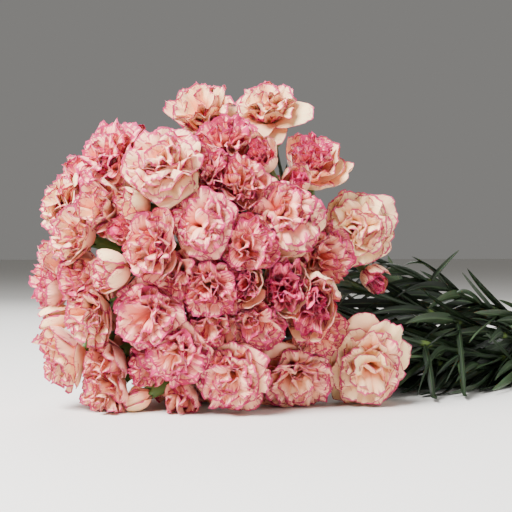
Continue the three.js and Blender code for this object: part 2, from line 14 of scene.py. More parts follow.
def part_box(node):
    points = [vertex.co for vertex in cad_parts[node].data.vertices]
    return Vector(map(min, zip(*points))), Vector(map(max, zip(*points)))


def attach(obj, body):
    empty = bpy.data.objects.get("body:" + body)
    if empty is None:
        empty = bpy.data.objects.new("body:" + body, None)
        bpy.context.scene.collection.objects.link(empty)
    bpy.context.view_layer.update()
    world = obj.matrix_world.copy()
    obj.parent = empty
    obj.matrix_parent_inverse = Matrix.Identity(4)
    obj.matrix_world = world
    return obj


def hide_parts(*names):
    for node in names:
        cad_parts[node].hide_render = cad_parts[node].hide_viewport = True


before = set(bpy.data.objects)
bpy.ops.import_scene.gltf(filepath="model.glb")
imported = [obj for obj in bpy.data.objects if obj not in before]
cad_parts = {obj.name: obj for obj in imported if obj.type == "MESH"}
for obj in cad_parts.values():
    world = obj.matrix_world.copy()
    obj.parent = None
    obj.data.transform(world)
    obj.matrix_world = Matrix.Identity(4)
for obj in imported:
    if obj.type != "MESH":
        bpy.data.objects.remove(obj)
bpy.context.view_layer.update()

# Driving dimensions, the same as in the solids
HEAD = {"along": 119, "across": 82, "tall": 104, "height": 116}  # ellipsoid of the bloom middles
BAND_X = 400  # from the middle of the head to the rubber band
BAND_HEIGHT = 15  # of the bundle's middle at the band
TAIL = 76  # from the band to the cut ends
TAIL_HEIGHT = 9.2  # of the bundle's middle at the cut ends
TAIL_SPREAD = {"side": 2.7, "tall": 0.9}  # of the bundle at the cut ends, 1 at the band
SAG = 44  # how far the stems hang below a straight run to the head
MAIN = {"cut": 2.2, "top": 1.6, "swell": 0.9}  # radii of a main stem, and what its nodes add
STALK = {"radius": 1.35, "knob": 0.5}  # and what its end at the calyx adds
BRANCHES = [0.55, 0.66, 0.77, 0.88, 1]  # where stalks leave a main stem, of the way from the band to its top
CALYX = {"mouth": 5.2, "belly": 4.6, "long": 23}
BUD_CALYX = {"mouth": 4.6, "belly": 5, "long": 25}
LEAF = {"wide": 7, "thick": 0.9}
GAP = 0.3  # between pieces that touch
CLEAR = 0.9  # between petals and the stems, stalks and calyces of other blooms

# Radius and turns of the rubber strand, how much of its radius it keeps outward and lengthwise, its waver
BAND = {"wire": 1.1, "turns": 3, "high": 0.85, "broad": 0.98, "waver": 0.25}

# tall: height by radius, less the number for open. base and heart: shares of that height, from the middle
# down to the base and from there up. Below bud it is a bud. out and away: weights of where it faces.
BLOOM = {"tall": 2.04, "base": 0.45, "heart": 0.3, "bud": 0.3, "out": 0.7, "away": 0.3}

# Sprays in a ring and inside it, and its radius by their pitch. Their main stems end a share of the way from
# the head's middle to their blooms, and a length along the spine.
RING = {"sprays": 8, "radius": 1.53, "share": 0.56, "along": -26, "swing": 1.2}
INNER = {"sprays": 2, "radius": 0.5, "share": 0.4, "along": -4, "swing": 0}

# From a main stem's ends to its control points
BEND = {"above": 45, "below": 40, "head": 110}

# A stalk's easiest angle in radians, and the share of its span that it bends over, wider if it turns back
TURN_OFF = {"easy": 0.65, "back": -0.15, "bend": 0.3, "wide_bend": 0.6}

FREE = 0.78  # share of its room in which a petal's point is left alone

# The camera, from which the near side is described: azimuth (0 looks along +Y), distance from the middle of
# the head and shift to its right. focal and middle are pixels.
VIEW = {"azimuth": -25, "distance": 758, "shift": 31, "height": 110, "focal": 1000, "middle": 256}
FRAME_PIXELS = 512
SENSOR = 36

# The near side, by number. seen: pixel of the bloom's middle. across: width. open: 0 bud to 1 flat. lean:
# extra lean to the right, up and towards the eye. deep: further in along the sight. blush: how pink.
NEAR_WORDS = ("seen", "across", "open", "lean", "deep", "blush")
NEAR = {
    1: ((110, 160), 60, 0.95, (-0.25, 0.15, 0.35), 0, 0.55),
    2: ((163, 166), 64, 1, (0.1, 0.1, 0), -10, 0.3),
    3: ((133, 206), 32, 0.45, (-0.7, -0.1, 0), 2, 0.15),
    4: ((203, 113), 52, 0.85, (0, 0.1, 0.5), 0, 0.15),
    5: ((268, 108), 52, 0.9, (-0.2, 0.1, 0.6), 4, 0.15),
    6: ((261, 158), 34, 0.45, (-0.4, 0.1, 0.5), -4, 0.7),
    7: ((312, 162), 48, 0.7, (-0.2, 0.1, 0.2), 6, 0.68),
    8: ((296, 184), 26, 0.4, (0.1, 0.1, 0), -4, 0.9),
    9: ((283, 214), 70, 1, (0, 0, 0), 0, 0.45),
    10: ((357, 229), 66, 1, (-0.3, -0.1, 0), -8, 0.13),
    11: ((373, 278), 29, 0.4, (0, -0.5, 0.7), -20, 0.95),
    12: ((320, 258), 48, 0.8, (0, -0.1, 0), 4, 0.5),
    13: ((246, 248), 46, 0.85, (0, 0, 0), -4, 0.6),
    14: ((246, 282), 36, 0.55, (-0.3, 0, 0), -4, 0.8),
    15: ((283, 285), 48, 0.6, (-0.2, 0.1, 0.2), -3, 0.9),
    16: ((309, 300), 52, 0.55, (-0.3, -0.1, 0.3), -12, 0.85),
    17: ((251, 320), 52, 0.85, (0, 0, 0), 0, 0.55),
    18: ((231, 374), 60, 0.95, (-0.1, 0.1, 0.2), -30, 0.45),
    19: ((296, 376), 66, 1, (0.1, 0.05, 0.4), -36, 0.45),
    20: ((368, 366), 67, 1, (-0.2, 0.2, 0.1), -36, 0.18),
    21: ((209, 287), 48, 0.85, (0, 0, 0), -2, 0.6),
    22: ((201, 225), 56, 0.95, (0, 0, 0), -3, 0.5),
    23: ((150, 245), 52, 0.85, (-0.4, 0, 0), -4, 0.5),
    24: ((177, 272), 46, 0.85, (0, 0, 0), 4, 0.55),
    25: ((148, 315), 60, 0.95, (0, 0, 0), 0, 0.6),
    26: ((178, 350), 58, 0.95, (0, 0.1, 0), -8, 0.6),
    27: ((174, 391), 50, 0.65, (-0.6, 0, 0.2), -30, 0.5),
    28: ((138, 397), 21, 0.1, (-0.8, 0.1, 0), -24, 0.3),
    29: ((108, 389), 50, 0.85, (-0.2, 0, 0), -14, 0.35),
    30: ((106, 363), 54, 0.85, (-0.5, -0.2, 0.3), -18, 0.4),
    31: ((65, 354), 54, 0.85, (-0.3, 0, 0), -4, 0.2),
    32: ((60, 318), 24, 0.15, (-0.5, 0, 0), 0, 0.1),
    33: ((92, 312), 50, 0.85, (-0.2, 0, 0), -2, 0.3),
    34: ((54, 284), 44, 0.8, (-0.4, 0.1, 0), 4, 0.5),
    35: ((82, 277), 40, 0.7, (0, 0.1, 0), 6, 0.5),
    36: ((113, 272), 33, 0.42, (-0.5, -0.2, 0), -5, 0.35),
    37: ((76, 234), 50, 0.85, (-0.4, 0.3, 0), 0, 0.2),
    38: ((102, 210), 44, 0.75, (0, -0.2, 0), 4, 0.3),
    39: ((126, 229), 30, 0.55, (0, 0, 0), 4, 0.7),
    40: ((226, 143), 48, 0.85, (0, 0, 0), 4, 0.6),
    41: ((238, 184), 46, 0.8, (0, 0, 0), 2, 0.5),
    42: ((205, 174), 44, 0.8, (0, 0, 0), 4, 0.6),
    43: ((316, 331), 44, 0.75, (0.1, 0.1, 0), -16, 0.45),
    44: ((211, 323), 44, 0.75, (0, 0, 0), 2, 0.5),
    45: ((146, 370), 44, 0.75, (-0.3, 0.1, 0), -12, 0.6),
}

# The far side and the underside. around: degrees about +Z from +X. up: degrees above the middle.
FAR_WORDS = ("around", "up", "across", "open")
FAR = {
    46: (75, 60, 66, 1),
    47: (135, 44, 64, 0.95),
    48: (58, 22, 66, 1),
    49: (92, 24, 66, 0.95),
    50: (124, 20, 64, 1),
    51: (152, 26, 60, 0.9),
    52: (172, 17, 52, 0.95),
    53: (54, -14, 64, 1),
    54: (84, -12, 66, 0.95),
    55: (112, -14, 64, 1),
    56: (140, -10, 62, 0.95),
    57: (168, -10, 58, 0.9),
    58: (57, -46, 64, 0.95),
    59: (102, -46, 62, 0.9),
    60: (136, -44, 62, 1),
    61: (172, -46, 54, 0.9),
    62: (20, -68, 58, 0.9),
    63: (110, -78, 58, 0.95),
    64: (200, -72, 56, 0.9),
}
FAR_BLUSH = (0.15, 0.6)

# Neighbours that share a node of the solids, by number
PAIRS = [
    (3, 38), (6, 40), (13, 14), (17, 44), (23, 39), (29, 30), (31, 32), (33, 35), (34, 57), (41, 42),
    (50, 51), (55, 56), (58, 62), (60, 61), (63, 64),
]

# Leaves by spray. share: of the way from the band to the top. turn: degrees round the stem from straight
# out of the bundle. away: degrees between leaf and stem. long and droop in mm.
LEAF_WORDS = ("share", "turn", "away", "long", "droop")
LEAVES = {
    1: [(0.3, 0, 45, 60, 20), (0.58, 0, 65, 50, 30), (0.66, 0, 80, 50, 40)],
    2: [(0.2, 30, 45, 60, 0), (0.42, 35, 50, 45, 0), (0.62, 30, 50, 45, 6)],
    3: [(0.3, -40, 45, 55, 0), (0.55, -40, 50, 50, 0)],
    4: [(0.25, 0, 45, 60, 10), (0.45, 0, 60, 55, 20), (0.62, 0, 60, 45, 20)],
    5: [(0.35, 0, 40, 70, 10), (0.52, 0, 60, 55, 20), (0.7, 0, 65, 45, 10)],
    6: [(0.3, 0, 40, 65, 10), (0.45, -20, 35, 70, 4), (0.45, 25, 60, 45, 16), (0.62, -10, 70, 36, 0)],
    7: [(0.33, 20, 35, 70, 6), (0.33, -25, 50, 55, 16), (0.5, 5, 22, 78, 0), (0.5, -50, 60, 26, 6),
        (0.66, 10, 80, 46, 0)],
    8: [(0.25, 10, 40, 70, 14), (0.43, 0, 50, 30, 20), (0.6, -15, 65, 56, 50)],
}

# What only the finer pieces have. Further leaves of each main stem: pairs along a stretch of it, with a third
# one in the thick of the bundle. From last on, among the blooms, they are half as long.
EXTRA = {"pairs": 20, "from": 0.06, "stretch": 0.88, "thick": (0.3, 0.75), "last": 0.7}

# Thickness of a leaf, how much it curls outward and sideways, its twist in radians, and its fold
BLADE = {"thick": 0.7, "outward": 0.05, "sideways": 0.07, "twist": 0.35, "fold": 0.16}

# step: degrees from petal to petal. As shares of the bloom's size, wide, inner and broad: half widths of
# outer, inner and broad inner petals, reach and top: how far out and up they end, ruffle: height of ripples.
# fold: width to a ripple. mingle: how far petals run into those of neighbours.
PETALS = {
    "step": 137.5, "wide": 0.66, "inner": 0.4, "broad": 0.62, "reach": 1.06, "top": 1.1, "ruffle": 0.09,
    "fold": 9, "thick": 0.4, "mingle": 1,
}
PETAL_ROWS = [0, 0.22, 0.42, 0.6, 0.76, 0.89, 1]

# Degrees from the axis at which a bloom's outermost petals end
ENDS = {"furled": 24, "half": 80, "flat": 104}

# Radians by which petals of an open and a cupped bloom and inner ones of a furled one arrive turned outward
GUARD_FLARE = (0.5, -1.0)
INNER_FLARE = (0.6, -0.1)
FURLED_FLARE = -0.5

# How much petals differ in size, and the size of inner petals beside outer ones
VARY = {"inner": 0.05, "guard": 0.13, "broad": 0.24}
INNER_SIZE = 0.84

# Loose guard petals hang further out, in radians, and are larger, calmer and paler
HANGING = {"out": 0.55, "size": 1.2, "ruffle": 0.85, "blush": 0.3}

# Blooms whose palest guard petals hang out on one side: to the right, up and towards the eye
LOOSE = {
    2: (1, -0.3, 0.2), 4: (1, 0.2, 0.3), 5: (0.3, -1, 0.4), 7: (1, -0.3, 0.5), 9: (0.7, -0.6, 0.2),
    10: (0.2, -1, 0.3), 19: (1, 0.4, 0.4), 20: (0.5, -1, 0.5),
}

# Blooms of fewer and broader petals, and how much so
BROAD = {2: 0.25, 4: 1, 5: 0.8, 10: 0.6, 19: 0.25, 20: 0.6}

# Blooms whose petals spread or furl otherwise than their number for open says
SPREAD = {7: 0.6, 27: 0.85}

# Blooms whose petals are shorter than the bloom's ball, and the share that they keep
SHORTER = {31: 0.94, 34: 0.88, 37: 0.94, 47: 0.9}

# Blooms that aren't round as seen from the near side: how much taller, or with a minus wider, than round
TALL = {
    1: 0.14, 2: -0.06, 4: -0.03, 7: 0.1, 11: 0.2, 15: 0.2, 16: 0.2, 19: -0.1, 20: 0.16, 22: 0.1, 23: 0.14,
    27: -0.1, 29: -0.16, 30: -0.1, 31: 0.1, 33: 0.12, 34: 0.14, 36: 0.12, 37: 0.12, 47: -0.2,
}

HALF_TURN = 3.14  # radians
TONE = 0.37  # from one stem's or calyx's tone to the next

# peach is partly the petals' own warmer colour at their base and partly painted shade for the blooms' inner
# hollows
COLOURS = {
    "cream": (255, 217, 162), "peach": (252, 180, 138), "rose": (246, 90, 132), "raspberry": (178, 0, 88),
    "wine": (190, 0, 92), "calyx": (84, 112, 52), "stem": (31, 47, 25), "node": (84, 104, 46),
    "leaf": (29, 45, 24), "leaf_shade": (12, 22, 11), "bloom_of_wax": (90, 114, 78),
    "rubber": (196, 148, 92), "floor": (232, 230, 226),
}

# Where each lamp is from the middle of the head, to the right, up and towards the eye, its size and its watts
LAMPS = {
    "key": ((-0.75, 1.15, 0.85), 0.8, 122),
    "fill": ((1.1, 0.5, 0.7), 1.2, 8),
    "back": ((0, 0.9, -1), 1.0, 16),
}
SKY_STRENGTH = 0.27
FLOOR_REACH = 30.0
MM = 0.001


def mix(a, b, t):
    return a + (b - a) * t


def unit(v):
    v = np.asarray(v, float)
    return v / np.maximum(np.linalg.norm(v, axis=-1, keepdims=True), 1e-9)


def smooth(x):
    """0 below 0, 1 above 1, and 3x^2 - 2x^3 between."""
    x = np.clip(x, 0, 1)
    return x * x * (3 - 2 * x)


def angles(sides):
    """Equal steps round a full turn, from 0."""
    return np.linspace(0, 2 * math.pi, sides, endpoint=False)


def turned(angle, side, top):
    """Directions at angles from side towards top."""
    return np.cos(angle)[..., None] * side + np.sin(angle)[..., None] * top


ANGLE = math.radians(VIEW["azimuth"])
UP = np.array([0.0, 0.0, 1.0])
SIDE = np.array([0.0, 1.0, 0.0])
AHEAD = np.array([-math.sin(ANGLE), math.cos(ANGLE), 0])
RIGHT = np.array([math.cos(ANGLE), math.sin(ANGLE), 0])
MIDDLE = HEAD["height"] * UP
TIE = np.array([BAND_X, 0, BAND_HEIGHT])
SPINE = unit(MIDDLE - TIE)
SPINE_UP = np.cross(SIDE, SPINE)
BUNDLE = unit([-1, 0, 0.04])
BUNDLE_UP = np.cross(SIDE, BUNDLE)
EYE = MIDDLE - AHEAD * VIEW["distance"] + RIGHT * VIEW["shift"]
EYE[2] = VIEW["height"]
AXES = np.array([HEAD["along"], HEAD["across"], HEAD["tall"]])
PITCH = 2 * MAIN["cut"] + GAP

# The row's origin is under the middle of the whole bunch; the band's box shows how far that moved it
band_low, band_high = (1000 * np.array(corner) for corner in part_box("rubber_band"))
MOVED = (band_low + band_high) / 2 - TIE


def as_seen(right, up, near):
    """A direction, from how far it goes to the right, up and towards the eye."""
    return RIGHT * right + UP * up - AHEAD * near


def axes_of(bloom):
    """Two directions square to a bloom's axis: a level one, and the one over it."""
    side = unit(np.cross(UP, bloom["facing"]))
    return side, np.cross(bloom["facing"], side)


def place_near(row):
    """The point where a line of sight meets the ellipsoid of bloom middles, or passes nearest to it."""
    right = (row["seen"][0] - VIEW["middle"]) / VIEW["focal"]
    up = (VIEW["middle"] - row["seen"][1]) / VIEW["focal"]
    ray = AHEAD + RIGHT * right + UP * up
    start, step = (EYE - MIDDLE) / AXES, ray / AXES
    nearest = -start @ step / (step @ step)
    inside = 1 - np.sum((start + step * nearest) ** 2)
    reach = nearest - math.sqrt(max(inside, 0) / (step @ step))
    return place_bloom(EYE + ray * (reach + row["deep"]), row, as_seen(*row["lean"]))


def place_far(row):
    around, up = math.radians(row["around"]), math.radians(row["up"])
    spot = np.array([math.cos(up) * math.cos(around), math.cos(up) * math.sin(around), math.sin(up)])
    return place_bloom(MIDDLE + AXES * spot, row, np.zeros(3))


def place_bloom(middle, row, lean):
    """A bloom faces out of the head and a little away from the band."""
    out = unit((middle - MIDDLE) / AXES ** 2)
    facing = unit(lean + BLOOM["out"] * out + BLOOM["away"] * unit(middle - TIE))
    radius = row["across"] / 2
    tall = radius * (BLOOM["tall"] - row["open"])
    calyx = BUD_CALYX if row["open"] < BLOOM["bud"] else CALYX
    base = middle - BLOOM["base"] * tall * facing
    mouth = base - GAP * facing
    return {
        "middle": middle, "facing": facing, "radius": radius, "tall": tall, "open": row["open"],
        "calyx": calyx, "base": base, "heart": base + BLOOM["heart"] * tall * facing, "mouth": mouth,
        "foot": mouth - calyx["long"] * facing, "blush": row.get("blush"),
    }


def place_blooms():
    """Every bloom in the order of the numbers, with what is its own."""
    blooms = [place_near(dict(zip(NEAR_WORDS, row))) for row in NEAR.values()]
    blooms += [place_far(dict(zip(FAR_WORDS, row))) for row in FAR.values()]
    rng = np.random.default_rng(7)
    for number, bloom in enumerate(blooms, start=1):
        bloom.update(
            number=number, loose=LOOSE.get(number, (0, 0, 0)), broad=BROAD.get(number, 0),
            spread=SPREAD.get(number, bloom["open"]), shorter=SHORTER.get(number, 1),
            taller=TALL.get(number, 0),
        )
        if bloom["blush"] is None:
            bloom["blush"] = rng.uniform(*FAR_BLUSH)
    return blooms


def group_sprays(blooms):
    """The blooms nearest the front of the head grow on the inner sprays, the rest on the outer ones in order
    round the spine."""
    for bloom in blooms:
        out = bloom["middle"] - MIDDLE
        bloom["turned"] = math.acos(np.clip(unit(out) @ SPINE, -1, 1))
        bloom["around"] = math.atan2(out @ SPINE_UP, out @ SIDE)
    by_front = sorted(blooms, key=lambda bloom: bloom["turned"])
    inner_count = math.floor(len(blooms) * INNER["sprays"] / (INNER["sprays"] + RING["sprays"]) + 0.5)
    sprays = []
    for members, place in ((by_front[inner_count:], RING), (by_front[:inner_count], INNER)):
        members = sorted(members, key=lambda bloom: bloom["around"])
        count = place["sprays"]
        cuts = [math.floor(k * len(members) / count + 0.5) for k in range(count + 1)]
        for slot in range(count):
            sprays.append({"members": members[cuts[slot]:cuts[slot + 1]], "place": place, "slot": slot})
    return sprays


def cubic(points, t):
    """The sum of four control points times (1-t)^3, 3t(1-t)^2, 3t^2(1-t) and t^3."""
    a, b, c, d = points
    return a * (1 - t) ** 3 + 3 * b * t * (1 - t) ** 2 + 3 * c * t ** 2 * (1 - t) + d * t ** 3


def curve(points, t):
    """Points of a cubic curve, a row for each t."""
    return cubic(points, np.atleast_1d(np.asarray(t, float))[:, None])


def curve_direction(points, t):
    step = 1e-3
    return unit(curve(points, np.minimum(t + step, 1)) - curve(points, np.maximum(t - step, 0)))


def main_curves(spray):
    """The main stem as two curves that meet at the band. The upper one sags, and in the ring it swings out
    before it arrives."""
    place = spray["place"]
    angle = -math.pi + 2 * math.pi * (spray["slot"] + 0.5) / place["sprays"]
    radius = place["radius"] * PITCH
    side, up = radius * math.cos(angle), radius * math.sin(angle)
    heart = np.mean([bloom["base"] for bloom in spray["members"]], axis=0)
    end = mix(MIDDLE, heart, place["share"]) + SPINE * place["along"]
    band = TIE + SIDE * side + BUNDLE_UP * up
    cut = np.array([BAND_X + TAIL, side * TAIL_SPREAD["side"], TAIL_HEIGHT + up * TAIL_SPREAD["tall"]])
    straight = unit(end - band)
    off_spine = end - (MIDDLE + SPINE * ((end - MIDDLE) @ SPINE))
    approach = end - straight * BEND["head"] + off_spine * place["swing"] - UP * SAG
    approach[2] = max(approach[2], 2 * MAIN["cut"])
    spray["upper"] = (band, band + BUNDLE * BEND["above"], approach, end)
    spray["lower"] = (cut, cut + BUNDLE * BEND["below"], band - BUNDLE * BEND["below"], band)


def stalk_curve(bloom, main):
    """A stalk leaves the main stem where it can do so at the easiest angle, and arrives along the calyx."""
    def miss(t):
        toward = unit(bloom["foot"] - curve(main, t)[0])
        return abs(math.acos(np.clip(toward @ curve_direction(main, t)[0], -1, 1)) - TURN_OFF["easy"])
    best = min(BRANCHES, key=miss)
    start, ahead = curve(main, best)[0], curve_direction(main, best)[0]
    turns_back = ahead @ bloom["facing"] < TURN_OFF["back"]
    span = np.linalg.norm(bloom["foot"] - start) * TURN_OFF["wide_bend" if turns_back else "bend"]
    bloom["stalk"] = (start, start + ahead * span, bloom["foot"] - bloom["facing"] * span, bloom["foot"])


def walls_of(bloom, blooms, sprays):
    """Flat walls, as normals and distances from the heart, that keep petals off the table and off places on
    stems, stalks and other calyces, and let them mingle a little with those of neighbouring blooms."""
    heart = bloom["heart"]
    normals, distances = [-UP], [heart[2]]

    def wall(target, share, clear):
        far = np.linalg.norm(target - heart)
        normals.append((target - heart) / far)
        distances.append(far * share - clear)

    for other in blooms:
        if other is bloom:
            continue
        share = bloom["radius"] / (bloom["radius"] + other["radius"])
        wall(other["heart"], share, -PETALS["mingle"])
        for along in (0, 0.25, 0.5, 0.75):
            wall(mix(other["mouth"], other["foot"], along), 1, other["calyx"]["belly"] + CLEAR)
    for spray in sprays:
        for spot in curve(spray["upper"], np.arange(0.5, 1.001, 0.05)):
            wall(spot, 1, MAIN["cut"] + CLEAR)
        for other in spray["members"]:
            if other is not bloom:
                for spot in curve(other["stalk"], (0.2, 0.4, 0.6, 0.8)):
                    wall(spot, 1, STALK["radius"] + CLEAR)
    return np.array(normals), np.array(distances)


def hold_inside(points, heart, walls):
    """A point is left alone in the inner share of its room and slows down, by tanh, to stop at the wall."""
    normals, distances = walls
    ray = points - heart
    length = np.linalg.norm(ray, axis=-1, keepdims=True)
    ray = ray / np.maximum(length, 1e-6)
    slope = ray @ normals.T
    room = np.where(slope > 1e-4, distances / np.maximum(slope, 1e-4), 1e4).min(-1, keepdims=True)
    free = FREE * room
    held = free + (room - free) * np.tanh((length - free) / (room - free))
    return np.where(length > free, heart + ray * held, points)


# What each vertex carries: five values for its material, and a mark on the outline of a thin sheet
VALUE_NAMES = ("along", "across", "margin", "depth", "blush")
ALONG, ACROSS, MARGIN, DEPTH, BLUSH, OUTLINE = range(6)
VALUES = 6

# Materials of the greens, by their place in the mesh's list
STEM_FINISH, CALYX_FINISH, LEAF_FINISH = range(3)


def grid_quads(index):
    """Faces of grids of vertex numbers [sheet, row, column], wound so that column cross row points out."""
    a, b = index[:, :-1, :-1], index[:, :-1, 1:]
    c, d = index[:, 1:, 1:], index[:, 1:, :-1]
    return np.stack([a, b, c, d], axis=-1).reshape(-1, 4)


def ring_quads(rows, sides, closed=0):
    """Faces of closed rings [row, side]. closed=1 joins the last ring to the first."""
    index = np.arange(rows * sides).reshape(rows, sides)
    return grid_quads(np.pad(index, ((0, closed), (0, 1)), "wrap")[None])


class Shape:
    """Vertices, faces and per-vertex values that are gathered from several surfaces into one mesh."""

    def __init__(self):
        self.points, self.quads, self.values, self.finish, self.total = [], [], [], [], 0

    def add(self, points, quads, values, finish=0):
        points = np.asarray(points, float).reshape(-1, 3)
        self.points.append(points)
        self.quads.append(quads + self.total)
        self.values.append(np.broadcast_to(values, (len(points), VALUES)))
        self.finish.append(np.full(len(quads), finish))
        self.total += len(points)

    def rings(self, rings, finish, depth=0, tone=0):
        """A tube of closed rings [row, side]. Its tone is kept as its blush."""
        values = np.zeros(rings.shape[:2] + (VALUES,))
        values[..., DEPTH] = depth
        values[..., BLUSH] = tone
        self.add(rings, ring_quads(*rings.shape[:2]), values.reshape(-1, VALUES), finish)

    def sheets(self, middle, thick, values, finish=0):
        """Closed thin sheets from grids [sheet, row, column]: both faces share the outline's vertices, and
        inside it they stand half the thickness to each side of the middle surface along its normal."""
        normal = unit(np.cross(np.gradient(middle, axis=2), np.gradient(middle, axis=1)))
        inner = (slice(None), slice(1, -1), slice(1, -1))
        front = middle.copy()
        front[inner] += normal[inner] * thick / 2
        back = middle[inner] - normal[inner] * thick / 2
        index = np.arange(middle[..., 0].size).reshape(middle.shape[:3])
        behind = index.copy()
        behind[inner] = index.size + np.arange(back[..., 0].size).reshape(back.shape[:3])
        quads = np.concatenate([grid_quads(index), grid_quads(behind)[:, ::-1]])
        points = np.concatenate([front.reshape(-1, 3), back.reshape(-1, 3)])
        values = values.copy()
        values[..., OUTLINE] = 1
        values[inner][..., OUTLINE] = 0
        both = np.concatenate([values.reshape(-1, VALUES), values[inner].reshape(-1, VALUES)])
        self.add(points, quads, both, finish)

    def to_mesh(self, name, finishes, nodes, slot):
        mesh = bpy.data.meshes.new(name)
        points = (np.concatenate(self.points) + MOVED) * MM
        quads = np.concatenate(self.quads)
        values = np.concatenate(self.values)
        mesh.vertices.add(len(points))
        mesh.vertices.foreach_set("co", points.ravel())
        mesh.loops.add(quads.size)
        mesh.loops.foreach_set("vertex_index", quads.ravel())
        mesh.polygons.add(len(quads))
        mesh.polygons.foreach_set("loop_start", np.arange(0, quads.size, 4))
        mesh.polygons.foreach_set("material_index", np.concatenate(self.finish))
        mesh.update(calc_edges=True)
        mesh.validate()
        mesh.shade_smooth()
        ends = np.zeros(2 * len(mesh.edges), int)
        mesh.edges.foreach_get("vertices", ends)
        sharp = mesh.attributes.new("sharp_edge", "BOOLEAN", "EDGE")
        sharp.data.foreach_set("value", (values[ends, OUTLINE].reshape(-1, 2).min(1) > 0.5))
        for k, word in enumerate(VALUE_NAMES):
            layer = mesh.attributes.new(word, "FLOAT", "POINT")
            layer.data.foreach_set("value", values[:, k].copy())
        for finish in finishes:
            mesh.materials.append(finish)
        piece = put_in_scene(name, mesh)
        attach(piece, "root")
        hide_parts(*nodes)


EACH = (slice(None), None, None)  # makes one number for each petal a grid [petal, row, column]


